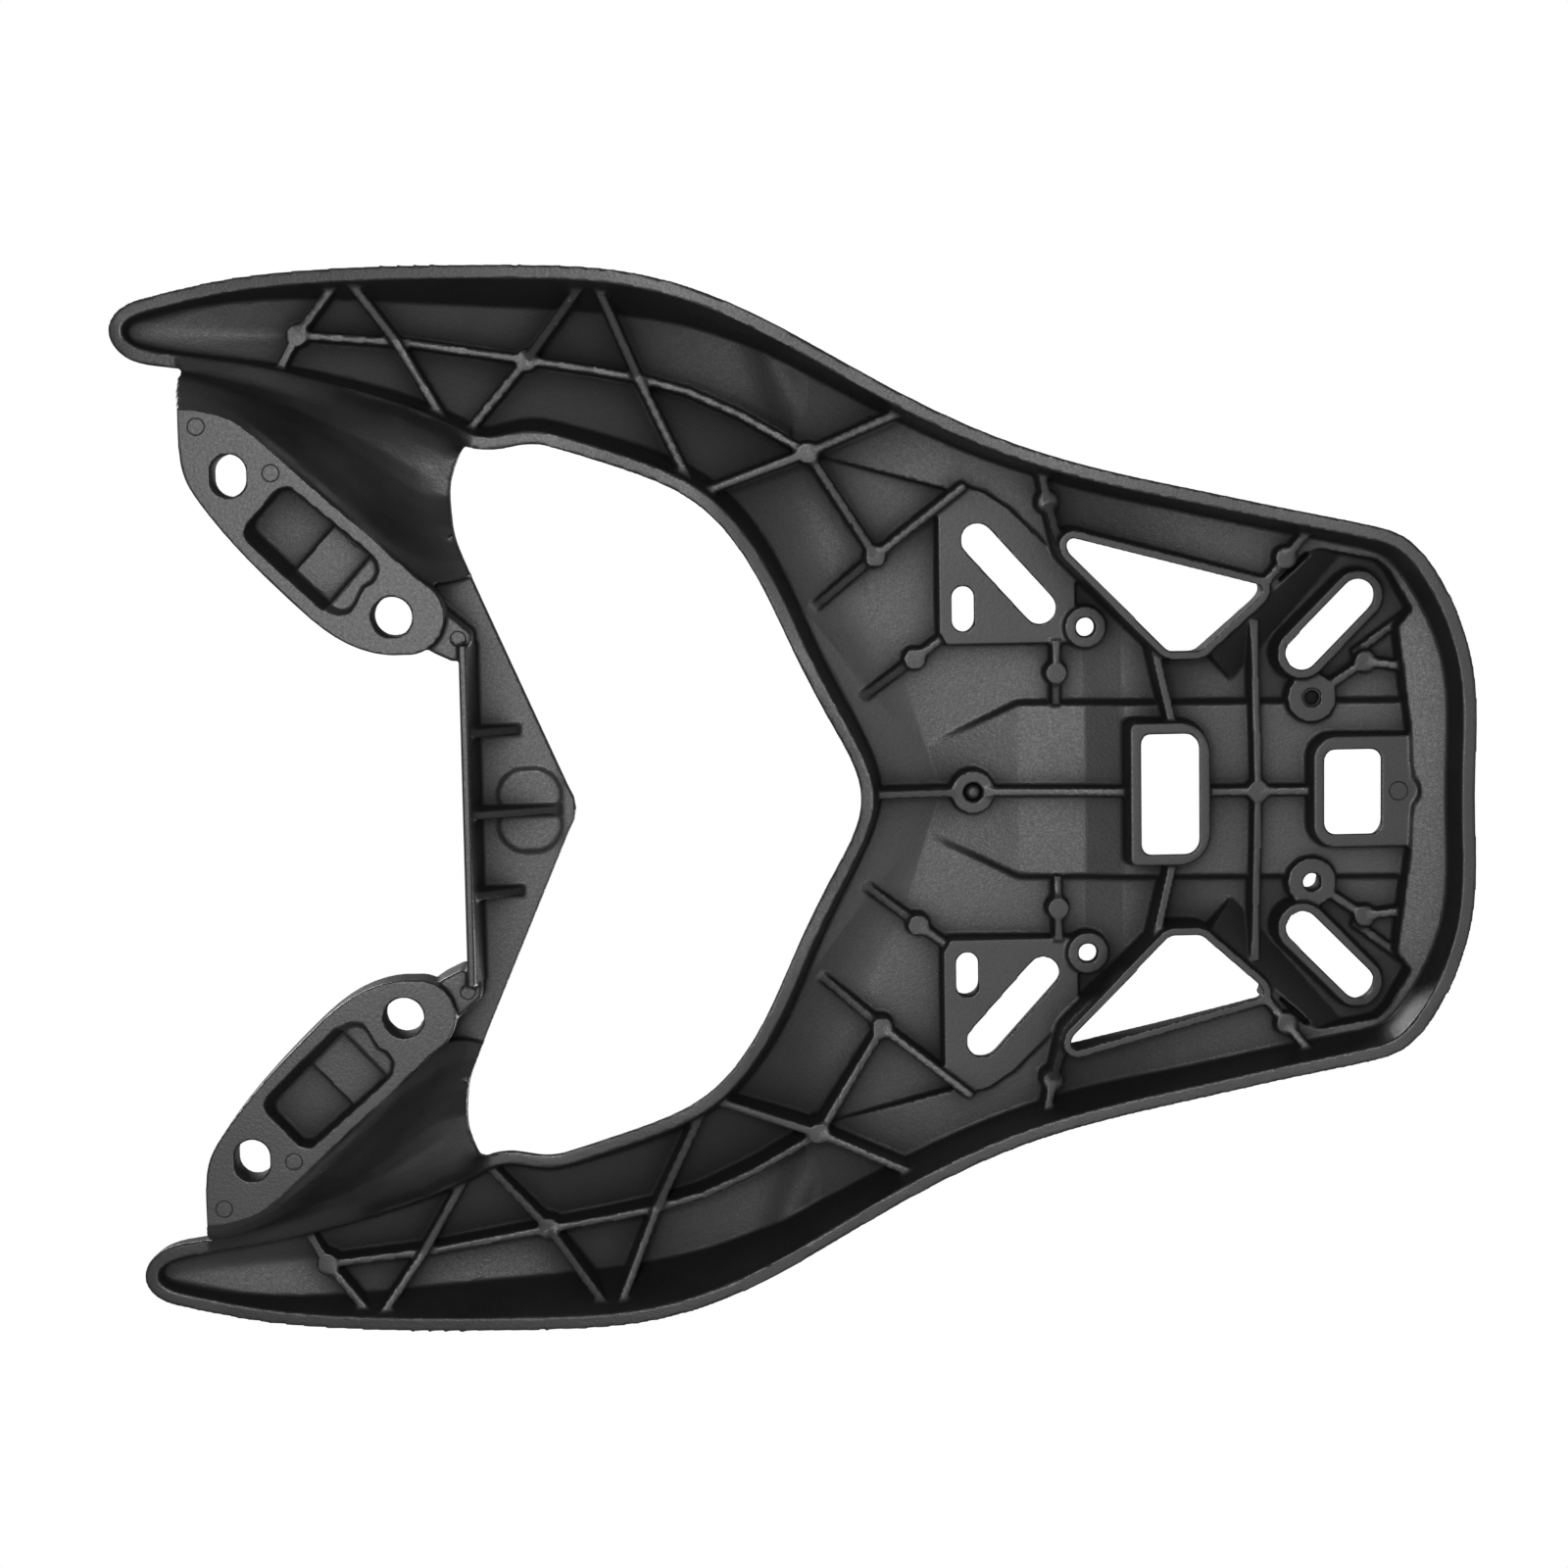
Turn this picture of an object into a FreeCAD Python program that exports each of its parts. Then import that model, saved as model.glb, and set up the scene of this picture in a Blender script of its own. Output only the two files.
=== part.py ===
import FreeCAD, Part
import os
import math

V = FreeCAD.Vector
os.makedirs("parts", exist_ok=True)

# Cast luggage rack for the tail of a motorcycle, one solid.
# Millimetres. X runs to the tail, Y to the rider's right, Z up.
# The origin is midway between the front foot holes, on the seating plane.

# Driving sizes
RIM_WIDTH = 4.0
SKIN = 3.2
RIB_WIDTH = 2.6
BOSS_R = 3.2
FOOT_HOLE_R = 5.5
FOOT_SLOT_R = 4.9
FOOT_SLOT_LENGTH = 11.6
FRONT_HOLE_X = 0.0
FRONT_HOLE_Y = 94.1
REAR_HOLE_X = 42.9
REAR_HOLE_Y = 55.1
FOOT_THICKNESS = 12.5
FOOT_HALF = 12.8
POCKET_DEEP = 9.0
POCKET_SHALLOW = 5.5
POCKET_SHELF = 1.6
POCKET_DRAFT = 3.0
BRIDGE_Z = 15.5
BRIDGE_THICKNESS = 4.0
FLANGE_X = 60.6
FLANGE_END = 47.0
GUSSET_Y = 21.3
GUSSET_REACH = 76.0
GUSSET_WIDTH = 2.4
BRIDGE_PAD = [(69.6, 1.7, 2.0), (87.0, 1.7, 2.0), (87.0, 11.5, 7.6), (69.6, 11.5, 7.6)]
BRIDGE_PAD_HEIGHT = 0.8
BRIDGE_TIP_X = 91.0
TAB_Z = 2.6
SCREW_X = 298.4
SCREW_Y = 26.2
SCREW_BOSS_R = 7.0
SCREW_HOLE_R = 2.5
SCREW_BOSS_Z = 23.5
STRAP_HOLE_X = 235.8
STRAP_HOLE_Y = 46.7
STRAP_HOLE_R = 2.7
STRAP_SEAT_R = 4.4
STRAP_BOSS_R = 6.0
STRAP_BOSS_Z = 33.4
CENTRE_BOSS_X = 203.6
CENTRE_BOSS_R = 6.3
CENTRE_BOSS_HOLE_R = 2.7
CENTRE_BOSS_Z = 36.0
SLOT_R = 4.5
FRONT_SLOT = ((205.5, 71.9), (223.0, 52.4))
REAR_SLOT = ((295.3, 38.9), (311.0, 54.8))
REAR_SLOT_Z = 21.5
SMALL_SLOT = ((201.2, 49.2), (201.2, 55.7))
SMALL_SLOT_R = 3.1
SLOT_BORDER = 2.7
PAD_Z = 35.0
BORDER_DRAFT = 1.0
CENTRE_WINDOW = (249.8, 265.8, 16.9)
CENTRE_WINDOW_Z = 20.3
REAR_WINDOW = (300.9, 316.6, 11.8)
REAR_WINDOW_Z = 17.3
WINDOW_BORDER = 3.3
TRIANGLE_Z = 20.0
TRIANGLE_BORDER = 2.5
RAMP = ((269.8, 38.8), (303.8, 69.8))
RAMP_Z = 24.5
RAMP_RISE = 0.74
STEP_X = 326.0
TOP = 60.0
LOW = -6.0

# Lower edge of the outer wall from the tail to the arm's tip: x, y, height, lean of the wall
OUTER = [
    (340.3, 0.0, 4.2, 0.20), (339.5, 36.0, 4.4, 0.20), (336.2, 47.8, 4.6, 0.20),
    (326.2, 66.3, 5.4, 0.19), (320.6, 71.6, 5.7, 0.18), (311.7, 74.9, 6.3, 0.17),
    (292.6, 79.1, 8.8, 0.17), (265.3, 85.2, 11.5, 0.15), (238.0, 91.6, 14.2, 0.12),
    (210.7, 100.5, 17.5, 0.12), (183.4, 113.4, 19.2, 0.12), (156.1, 129.0, 19.5, 0.12),
    (128.8, 142.3, 19.5, 0.19), (101.5, 149.1, 21.2, 0.30), (74.2, 150.7, 23.9, 0.35),
    (19.6, 150.4, 29.6, 0.33), (-7.7, 147.5, 31.9, 0.26), (-24.0, 144.0, 32.6, 0.20),
]
TIP = [
    (-32.4, 141.0, 32.8, 0.16), (-36.3, 135.3, 32.8, 0.13), (-34.0, 129.0, 32.8, 0.10),
]
INNER = [
    (-20.0, 124.0, 31.9, 0.08), (2.0, 120.4, 31.0, 0.14), (27.0, 114.3, 31.0, 0.20),
    (54.0, 104.6, 30.6, 0.22), (61.0, 101.0, 30.2, 0.22), (70.0, 99.4, 30.1, 0.22),
    (80.4, 100.9, 30.5, 0.24), (89.5, 99.0, 30.6, 0.24), (107.1, 93.1, 29.0, 0.24),
    (125.4, 84.2, 27.4, 0.22), (138.8, 69.1, 27.5, 0.22), (152.7, 41.5, 29.0, 0.20),
    (163.5, 20.2, 28.0, 0.17), (170.9, 0.0, 25.8, 0.15),
]

# Ceiling of the hollow, by upright stations: x at the middle plane, how far the station slants
# to the front for each millimetre outwards, then its inner, crest and outer points (y, z)
CEILING = [
    (-60.0, 0.0, (118.0, 36.5), (136.0, 37.5), (150.0, 36.0)),
    (-25.0, 0.0, (120.0, 37.5), (134.5, 39.0), (146.0, 37.5)),
    (15.7, 0.0, (117.5, 39.5), (132.5, 43.0), (143.0, 40.0)),
    (47.0, 0.0, (108.5, 41.0), (129.8, 46.0), (143.0, 42.0)),
    (79.5, 0.0, (102.0, 42.0), (124.6, 48.0), (142.5, 43.0)),
    (110.7, 0.0, (93.0, 42.5), (119.0, 49.0), (141.0, 46.0)),
    (148.8, 0.1, (70.0, 43.5), (108.5, 49.0), (133.0, 47.0)),
    (176.0, 0.25, (40.0, 44.0), (98.5, 48.2), (122.0, 46.0)),
    (195.2, 0.335, (12.0, 45.0), (80.0, 45.0), (105.0, 45.0)),
]
# Ceiling of the platform: middle channel, then beside it
FLOOR = [
    (195.2, 0.335, (12.0, 45.0), (13.4, 45.0), (105.0, 45.0)),
    (217.0, 0.0, (24.4, 39.4), (25.8, 41.8), (100.0, 41.8)),
    (235.6, 0.0, (24.4, 36.4), (25.8, 39.6), (90.0, 39.6)),
    (246.5, 0.0, (24.4, 32.4), (25.8, 36.2), (90.0, 36.6)),
    (286.0, 0.0, (24.4, 28.0), (25.8, 31.2), (80.0, 31.2)),
    (360.0, 0.0, (24.4, 18.6), (25.8, 21.0), (70.0, 21.0)),
]
# Height of the lower edges along X, inner wall and outer wall, and the line between them
LOWER_EDGE = [
    (-60.0, 32.8, 32.8, 136.0), (-36.0, 32.8, 32.8, 136.0), (-15.0, 31.8, 32.2, 134.5),
    (19.6, 31.0, 29.6, 131.5), (60.5, 30.4, 25.3, 127.5), (88.0, 30.4, 22.5, 123.0),
    (108.0, 28.8, 20.6, 118.5), (128.8, 27.3, 19.6, 112.0), (152.7, 28.9, 19.5, 100.0),
    (170.0, 26.2, 19.5, 86.0), (190.0, 22.0, 18.7, 70.0), (214.0, 17.8, 17.2, 52.0),
    (238.0, 14.2, 14.2, 40.0), (265.3, 11.5, 11.5, 40.0), (292.6, 8.8, 8.8, 40.0),
    (311.0, 6.4, 6.4, 40.0), (326.0, 4.9, 4.9, 40.0), (340.0, 4.2, 4.2, 40.0),
    (360.0, 4.0, 4.0, 40.0),
]
# The lower rail outside the raised platform: height of its ceiling along X
RAIL = [
    (140.0, 49.5), (158.0, 45.0), (177.0, 41.0), (190.0, 38.8), (232.0, 34.6),
    (259.0, 28.4), (286.0, 24.4), (310.0, 20.5), (360.0, 15.5),
]
# Plan of the step between platform and rail, from the arm to the tail
STEP = [
    (154.0, 99.5), (161.5, 96.2), (194.5, 87.0), (207.5, 83.6), (215.2, 79.8),
    (248.9, 46.4), (255.8, 38.9), (268.0, 38.4), (285.5, 56.0), (296.0, 66.8),
    (300.5, 68.0), (316.0, 64.8), (319.0, 62.0), (325.0, 51.0), (321.2, 46.0),
    (322.5, 36.0), (325.0, 15.0), (325.6, 4.2), (327.5, 1.2), (327.5, -5.0),
]
# Plan of the pad round the front slots
PAD = [
    (194.2, 79.5), (194.2, 46.0), (196.5, 42.1), (233.2, 42.1), (233.2, 62.0), (214.9, 80.4),
    (207.5, 85.4), (203.0, 86.8),
]
# Rounded corners of the three-sided window: x, y, radius
TRIANGLE = [
    (228.5, 72.9, 1.8), (284.7, 57.8, 1.6), (282.6, 54.8, 0.9), (266.4, 40.4, 3.0),
    (257.5, 40.4, 3.0), (229.8, 68.4, 2.6),
]


def spline(points):
    curve = Part.BSplineCurve()
    curve.interpolate(points)
    return curve


def wall_line(points, marks):
    """Curve of the wall from the tail round the arm and back, square to the middle plane."""
    curve = Part.BSplineCurve()
    curve.interpolate(
        Points=points, Parameters=marks, InitialTangent=V(0, 1, 0), FinalTangent=V(0, -1, 0),
        Scale=False)
    return curve


def run_marks(points):
    """Distance run along the points, the same for every height of the wall."""
    marks = [0.0]
    for a, b in zip(points[:-1], points[1:]):
        marks.append(marks[-1] + a.distanceToPoint(b))
    return marks


def rim_points(stations, inset, height):
    """Points of the wall line moved inwards by inset and carried along its lean to height."""
    flat = [V(s[0], s[1], 0) for s in stations]
    curve = wall_line(flat, run_marks(flat))
    moved = []
    for point, s in zip(flat, stations):
        tangent = curve.tangent(curve.parameter(point))[0]
        normal = V(-tangent.y, tangent.x, 0)
        shift = inset + s[3] * (height - s[2])
        moved.append(V(s[0], s[1], height) + normal * shift)
    moved[0].y = 0
    moved[-1].y = 0
    return moved


def wall_solid(inset):
    """Leaning prism inside the wall line, from below the rims to above the skin."""
    stations = OUTER + TIP + INNER
    marks = run_marks([V(s[0], s[1], 0) for s in stations])
    joints = list(range(0, len(stations) - 2, 2)) + [len(stations) - 1]
    wires = []
    for height in (LOW, TOP - 8.0):
        points = rim_points(stations, inset, height)
        curve = wall_line(points, marks)
        edges = [curve.toShape(marks[a], marks[b]) for a, b in zip(joints[:-1], joints[1:])]
        wires.append(Part.Wire(edges + [Part.makeLine(points[-1], points[0])]))
    return Part.makeLoft(wires, True, True)


def slab_between(sections, ruled=False):
    """Solid through polygons of equal count, one for each station along X."""
    wires = [Part.makePolygon(points + [points[0]]) for points in sections]
    return Part.makeLoft(wires, True, ruled)


def under_ceiling(lift):
    halves = []
    for stations, ruled in ((CEILING, False), (FLOOR, True)):
        sections = []
        for x, slant, inner, crest, outer in stations:
            fall = (outer[1] - crest[1]) / (outer[0] - crest[0])
            edge = outer[1] + fall * (175.0 - outer[0])
            profile = (
                (-2, -20), (-2, inner[1] + lift), (inner[0], inner[1] + lift),
                (crest[0], crest[1] + lift), (175, edge + lift), (175, -20))
            sections.append([V(x - slant * y, y, z) for y, z in profile])
        halves.append(slab_between(sections, ruled))
    return halves[0].fuse(halves[1])


def under_edges():
    sections = []
    for x, inner, outer, split in LOWER_EDGE:
        sections.append([
            V(x, -5, -30), V(x, -5, inner), V(x, split, inner),
            V(x, split + 0.5, outer), V(x, 180, outer), V(x, 180, -30),
        ])
    return slab_between(sections)


def over_rail(lift):
    sections = []
    for x, z in RAIL:
        sections.append([V(x, -5, z + lift), V(x, 180, z + lift), V(x, 180, 90), V(x, -5, 90)])
    return slab_between(sections)


def prism(points, z0, z1):
    corners = [V(p[0], p[1], z0) for p in points]
    face = Part.Face(Part.makePolygon(corners + [corners[0]]))
    return face.extrude(V(0, 0, z1 - z0))


def rail_plan(shift, z0, z1):
    """Everything outside the step line, moved outwards by shift."""
    line = []
    count = len(STEP)
    for i, p in enumerate(STEP):
        a = STEP[max(i - 1, 0)]
        b = STEP[min(i + 1, count - 1)]
        dx = b[0] - a[0]
        dy = b[1] - a[1]
        size = math.hypot(dx, dy)
        line.append((p[0] - dy / size * shift, p[1] + dx / size * shift))
    outside = [(370.0, -5.0), (370.0, 170.0), (line[0][0], 170.0)]
    return prism(line + outside, z0, z1)


def rib(start, end, width=RIB_WIDTH):
    """Upright plate between two plan points, its lower edge at the two heights given."""
    a = V(*start)
    b = V(*end)
    along = V(b.x - a.x, b.y - a.y, 0)
    along.normalize()
    side = V(-along.y, along.x, 0) * (width / 2.0)
    corners = [a - side, b - side, V(b.x, b.y, TOP) - side, V(a.x, a.y, TOP) - side]
    face = Part.Face(Part.makePolygon(corners + [corners[0]]))
    return face.extrude(side * 2.0)


def post(x, y, z, radius, top=TOP):
    return Part.makeCylinder(radius, top - z, V(x, y, z))


def outline(corners, grow, z):
    """Closed wire with rounded corners (x, y, radius), moved outwards by grow."""
    count = len(corners)
    area = sum(
        corners[i - 1][0] * corners[i][1] - corners[i][0] * corners[i - 1][1]
        for i in range(count))
    turn = 1.0 if area > 0 else -1.0
    moved = []
    for i, c in enumerate(corners):
        a = corners[i - 1]
        b = corners[(i + 1) % count]
        back = V(a[0] - c[0], a[1] - c[1], 0)
        ahead = V(b[0] - c[0], b[1] - c[1], 0)
        back.normalize()
        ahead.normalize()
        out_back = V(-back.y, back.x, 0) * turn
        out_ahead = V(ahead.y, -ahead.x, 0) * turn
        both = out_back + out_ahead
        point = V(c[0], c[1], z) + both * (grow / (1.0 + out_back.dot(out_ahead)))
        half_angle = back.getAngle(ahead) / 2.0
        radius = max(c[2] + grow, 0.3)
        moved.append((point, back, ahead, half_angle, radius))
    edges = []
    ends = []
    for point, back, ahead, half_angle, radius in moved:
        cut = radius / math.tan(half_angle)
        middle = back + ahead
        middle.normalize()
        start = point + back * cut
        stop = point + ahead * cut
        crown = point + middle * (radius / math.sin(half_angle) - radius)
        ends.append((start, crown, stop))
    for i, (start, crown, stop) in enumerate(ends):
        before = ends[i - 1][2]
        if before.distanceToPoint(start) > 1e-4:
            edges.append(Part.makeLine(before, start))
        edges.append(Part.Arc(start, crown, stop).toShape())
    return Part.Wire(edges)


def taper(corners, grow0, grow1, z0, z1):
    """Rounded outline drawn upwards, its sides drafted."""
    return Part.makeLoft([outline(corners, grow0, z0), outline(corners, grow1, z1)], True, True)


def window(x0, x1, half, front, rear):
    """Corners of a window across the middle: radii for its front and rear corners."""
    return [(x0, -half, front), (x1, -half, rear), (x1, half, rear), (x0, half, front)]


def slot(ends, radius):
    """Corners of a slot with round ends."""
    a = V(ends[0][0], ends[0][1], 0)
    b = V(ends[1][0], ends[1][1], 0)
    along = b - a
    along.normalize()
    side = V(-along.y, along.x, 0) * radius
    along = along * radius
    r = radius - 0.001
    places = (a - along - side, b + along - side, b + along + side, a - along + side)
    return [(p.x, p.y, r) for p in places]


def fuse(shapes):
    return shapes[0].multiFuse(shapes[1:])


# Tray of the arms, the rail and the platform
outside = wall_solid(0.0)
inside = wall_solid(RIM_WIDTH)
ceiling = under_ceiling(0.0)
skin_top = under_ceiling(SKIN)
rail_floor = rail_plan(0.0, -10.0, 90.0).common(over_rail(0.0))
rail_top = rail_plan(3.0, -10.0, 90.0).common(over_rail(SKIN))
hull = outside.common(skin_top).cut(rail_top)
hollow = inside.common(ceiling).cut(rail_floor)
tray = hull.cut(under_edges()).cut(hollow)

# Ribs, bosses, borders and pads under the skin
B1 = (15.7, 132.5, 34.5)
B2 = (79.5, 124.6, 38.0)
B3 = (157.9, 97.3, 32.0)
B4 = (176.7, 67.7, 36.5)
B5 = (187.6, 38.3, 37.5)
B6 = (227.5, 33.8, 34.0)
B7 = (224.8, 82.4, 27.6)
B8 = (290.4, 65.9, 18.8)
B9 = (313.5, 36.2, 22.8)
BC = (283.1, 0.0, 23.0)
SP1 = (47.0, 129.8, 37.0)
SP2 = (98.0, 121.5, 37.0)
SP3 = (110.7, 119.0, 36.5)
SP4 = (124.5, 115.0, 35.5)
SP5 = (139.0, 108.3, 34.0)
under = []
for x, y, z in (B1, B2, B3, B4, B5, B6, B7, B8, B9, BC):
    under.append(post(x, y, z, BOSS_R))
spine = (B1, SP1, B2, SP2, SP3, SP4, SP5, B3)
for a, b in zip(spine[:-1], spine[1:]):
    under.append(rib(a, b, 2.4))
pairs = [
    (B1, (27.5, 147.0, 32.5)), (B1, (9.0, 120.0, 34.5)),
    ((31.5, 146.5, 30.5), (43.0, 130.6, 35.5)), ((43.0, 130.6, 35.5), (57.5, 105.5, 34.5)),
    (B2, (96.5, 146.0, 26.5)), (B2, (61.0, 103.0, 34.5)),
    ((99.5, 145.5, 26.0), (110.7, 119.0, 36.0)), ((110.7, 119.0, 36.0), (125.2, 88.0, 31.0)),
    (B3, (187.0, 109.5, 26.0)), (B3, (127.5, 86.5, 31.5)), (B3, B4),
    (B4, (202.0, 87.5, 31.5)), (B4, (158.5, 52.4, 44.6)),
    (B5, (195.0, 43.8, 37.0)), (B5, (170.5, 25.5, 44.8)),
    ((227.5, 43.0, 34.5), B6), (B6, (227.5, 24.5, 36.0)),
    ((172.0, 0.0, 33.0), (CENTRE_BOSS_X, 0.0, 36.5)),
    ((CENTRE_BOSS_X, 0.0, 36.5), (248.0, 0.0, 27.5)),
    ((267.5, 0.0, 24.0), BC), (BC, (298.5, 0.0, 21.5)),
    (BC, (282.2, 48.5, 24.5)),
    ((253.8, 41.0, 22.5), (258.8, 19.5, 22.5)),
    ((222.3, 93.5, 25.5), B7), (B7, (227.5, 70.0, 22.5)),
    ((282.5, 56.0, 20.5), B8), (B8, (297.5, 75.0, 16.0)),
    (B9, (SCREW_X, SCREW_Y, 24.0)), (B9, (323.0, 34.8, 21.0)),
    ((310.5, 38.0, 25.5), (325.0, 49.0, 24.0)),
]
for a, b in pairs:
    under.append(rib(a, b))
under.append(post(STRAP_HOLE_X, STRAP_HOLE_Y, STRAP_BOSS_Z, STRAP_BOSS_R))
under.append(post(SCREW_X, SCREW_Y, SCREW_BOSS_Z, SCREW_BOSS_R))
under.append(post(CENTRE_BOSS_X, 0.0, CENTRE_BOSS_Z, CENTRE_BOSS_R))
under.append(prism(PAD, PAD_Z, TOP))
rear_slot = slot(REAR_SLOT, SLOT_R)
under.append(taper(rear_slot, SLOT_BORDER, SLOT_BORDER + 2.0, REAR_SLOT_Z, REAR_SLOT_Z + 25.0))
x0, x1, half = CENTRE_WINDOW
frame = window(
    x0 - WINDOW_BORDER, x1 + WINDOW_BORDER, half + WINDOW_BORDER, 1.5, 8.5)
under.append(taper(frame, 0.0, BORDER_DRAFT, CENTRE_WINDOW_Z, CENTRE_WINDOW_Z + 25.0))
x0, x1, half = REAR_WINDOW
frame = window(x0 - WINDOW_BORDER, STEP_X + 2.0, half + 4.0, 6.5, 0.8)
under.append(taper(frame, 0.0, BORDER_DRAFT, REAR_WINDOW_Z, REAR_WINDOW_Z + 25.0))
grown = TRIANGLE_BORDER + BORDER_DRAFT
under.append(taper(TRIANGLE, TRIANGLE_BORDER, grown, TRIANGLE_Z, TRIANGLE_Z + 25.0))

# Slope beside the rear edge of the three-sided window
ramp_start = V(RAMP[0][0], RAMP[0][1], 0)
ramp_line = V(RAMP[1][0], RAMP[1][1], 0) - ramp_start
ramp_side = V(ramp_line.y, -ramp_line.x, 0)
ramp_side.normalize()
ramp_back = V(ramp_start) - ramp_side * 1.5
ramp_steps = [
    ramp_back + V(0, 0, RAMP_Z - RAMP_RISE * 1.5),
    ramp_start + ramp_side * 14.0 + V(0, 0, RAMP_Z + RAMP_RISE * 14.0),
    ramp_start + ramp_side * 14.0 + V(0, 0, TOP), ramp_back + V(0, 0, TOP)]
ramp_face = Part.Face(Part.makePolygon(ramp_steps + [ramp_steps[0]]))
under.append(ramp_face.extrude(ramp_line))

room = outside.common(under_ceiling(SKIN - 0.8)).cut(
    rail_plan(1.5, -10.0, 90.0).common(over_rail(SKIN - 0.8)))
half_box = Part.makeBox(500, 250, 120, V(-80, 0, -30))
under_shape = fuse(under).common(room).common(half_box)

half_shape = tray.fuse(under_shape)

# Openings through the platform and the rail
def opening(points, z, lean, rise=42.0):
    """Opening that widens upwards from its lower edge at z, then goes straight up."""
    wide = lean * rise
    lower_part = taper(points, -lean * 3.0, wide, z - 3.0, z + rise)
    if rise > 40.0:
        return lower_part
    return lower_part.fuse(taper(points, wide, wide, z + rise, z + 42.0))


holes = [
    opening(slot(FRONT_SLOT, SLOT_R), PAD_Z, 0.14),
    opening(rear_slot, REAR_SLOT_Z, 0.18),
    opening(slot(SMALL_SLOT, SMALL_SLOT_R), PAD_Z, 0.08),
    opening(TRIANGLE, TRIANGLE_Z, 0.2, 5.5),
    opening(window(*CENTRE_WINDOW, 2.6, 4.0), CENTRE_WINDOW_Z, 0.2),
    opening(window(*REAR_WINDOW, 3.0, 3.0), REAR_WINDOW_Z, 0.2),
    post(STRAP_HOLE_X, STRAP_HOLE_Y, -10, STRAP_HOLE_R, 70),
    post(STRAP_HOLE_X, STRAP_HOLE_Y, STRAP_BOSS_Z + 4.0, STRAP_SEAT_R, 70),
]
for hole in holes:
    half_shape = half_shape.cut(hole)
half_shape = half_shape.common(half_box)

# Foot: a thick plate with two holes and a stepped pocket between them
hole_line = V(REAR_HOLE_X - FRONT_HOLE_X, REAR_HOLE_Y - FRONT_HOLE_Y, 0)
hole_line.normalize()
across = V(-hole_line.y, hole_line.x, 0)


def on_foot(u, v, z):
    """Point on the foot: u along the line of its holes from the front one, v towards the arm."""
    return V(FRONT_HOLE_X, FRONT_HOLE_Y, z) + hole_line * u + across * v


edge = [V(x, y, 0) for x, y in (
    (-13.0, 112.5), (-13.1, 103.0), (-11.6, 93.3), (-7.7, 86.5), (-3.1, 80.3),
    (7.1, 68.6), (18.2, 57.5), (24.1, 52.3), (30.7, 48.0), (38.1, 45.3), (46.1, 44.7))]
bulge = spline(edge).toShape()
heel = on_foot(58.5, FOOT_HALF, 0)
toe = on_foot(-6.0, FOOT_HALF, 0)
end_arc = Part.Arc(edge[-1], V(57.3, 56.0, 0), heel).toShape()
inner_edge = Part.makeLine(heel, toe)
front_edge = Part.Arc(toe, V(-3.5, 111.2, 0), edge[0]).toShape()
foot_wire = Part.Wire([bulge, end_arc, inner_edge, front_edge])
foot = Part.Face(foot_wire).extrude(V(0, 0, FOOT_THICKNESS))


def foot_pocket(corners, z):
    """Pocket from the seating plane up to z, its outer side drafted."""
    lower_line = []
    upper_line = []
    for u, v in corners:
        lower_line.append(on_foot(u, v, -1.0))
        inset = POCKET_DRAFT if v < 0 else 0.4
        upper_line.append(on_foot(u, v + math.copysign(inset, -v), z))
    wires = [Part.makePolygon(line + [line[0]]) for line in (lower_line, upper_line)]
    return Part.makeLoft(wires, True, True)


deep = foot_pocket([
    (12.5, -7.6), (13.4, -9.4), (15.6, -10.3), (29.8, -10.9), (29.8, 9.0), (14.6, 8.6),
    (12.5, 6.4)], POCKET_DEEP)
shallow = foot_pocket([
    (29.0, -10.9), (42.8, -11.3), (42.8, 9.3), (29.0, 9.0)], POCKET_SHALLOW)
shelf = foot_pocket([
    (40.0, -11.2), (44.4, -11.4), (47.0, -10.2), (48.4, -8.0), (48.2, -5.4), (47.4, -2.4),
    (47.0, 1.4), (47.9, 4.2), (47.4, 6.9), (45.4, 8.8), (43.0, 9.3), (40.0, 9.2)],
    POCKET_SHELF)

# Saddle: curved web from the inner wall of the arm down to the foot.
# Each row: plan point at the wall, plan point at the foot, then (share of the way, height)
SADDLE = [
    ((-16.5, 124.0), (-13.0, 111.5),
     ((0.0, 31.8), (0.16, 25.0), (0.42, 13.5), (0.72, 4.0), (1.0, 0.0))),
    ((5.0, 119.6), (5.1, 106.8), ((0.0, 31.0), (0.16, 29.0), (0.42, 17.0), (0.70, 6.0), (1.0, 0.0))),
    ((27.0, 114.3), (17.9, 95.8), ((0.0, 31.0), (0.20, 29.5), (0.50, 18.5), (0.76, 6.5), (1.0, 0.0))),
    ((44.0, 108.8), (30.7, 83.4), ((0.0, 31.0), (0.28, 29.5), (0.56, 19.0), (0.80, 6.5), (1.0, 0.0))),
    ((54.0, 104.6), (43.5, 71.8), ((0.0, 30.6), (0.34, 29.0), (0.62, 19.0), (0.82, 8.0), (1.0, 0.2))),
    ((60.0, 101.6), (52.5, 67.0), ((0.0, 30.3), (0.38, 28.4), (0.60, 20.0), (0.80, 12.5), (1.0, 7.0))),
    ((66.0, 99.9), (64.0, 68.5), ((0.0, 30.0), (0.40, 28.3), (0.60, 19.8), (0.80, 14.8), (1.0, 14.6))),
]
SADDLE_REAR = [
    (63.5, 104.0), (62.0, 101.0), (58.1, 88.8), (58.4, 82.5), (59.4, 76.3), (61.6, 70.3), (63.5, 65.5),
]
WEB = 4.2
SADDLE_STEPS = 9
sections = []
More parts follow.
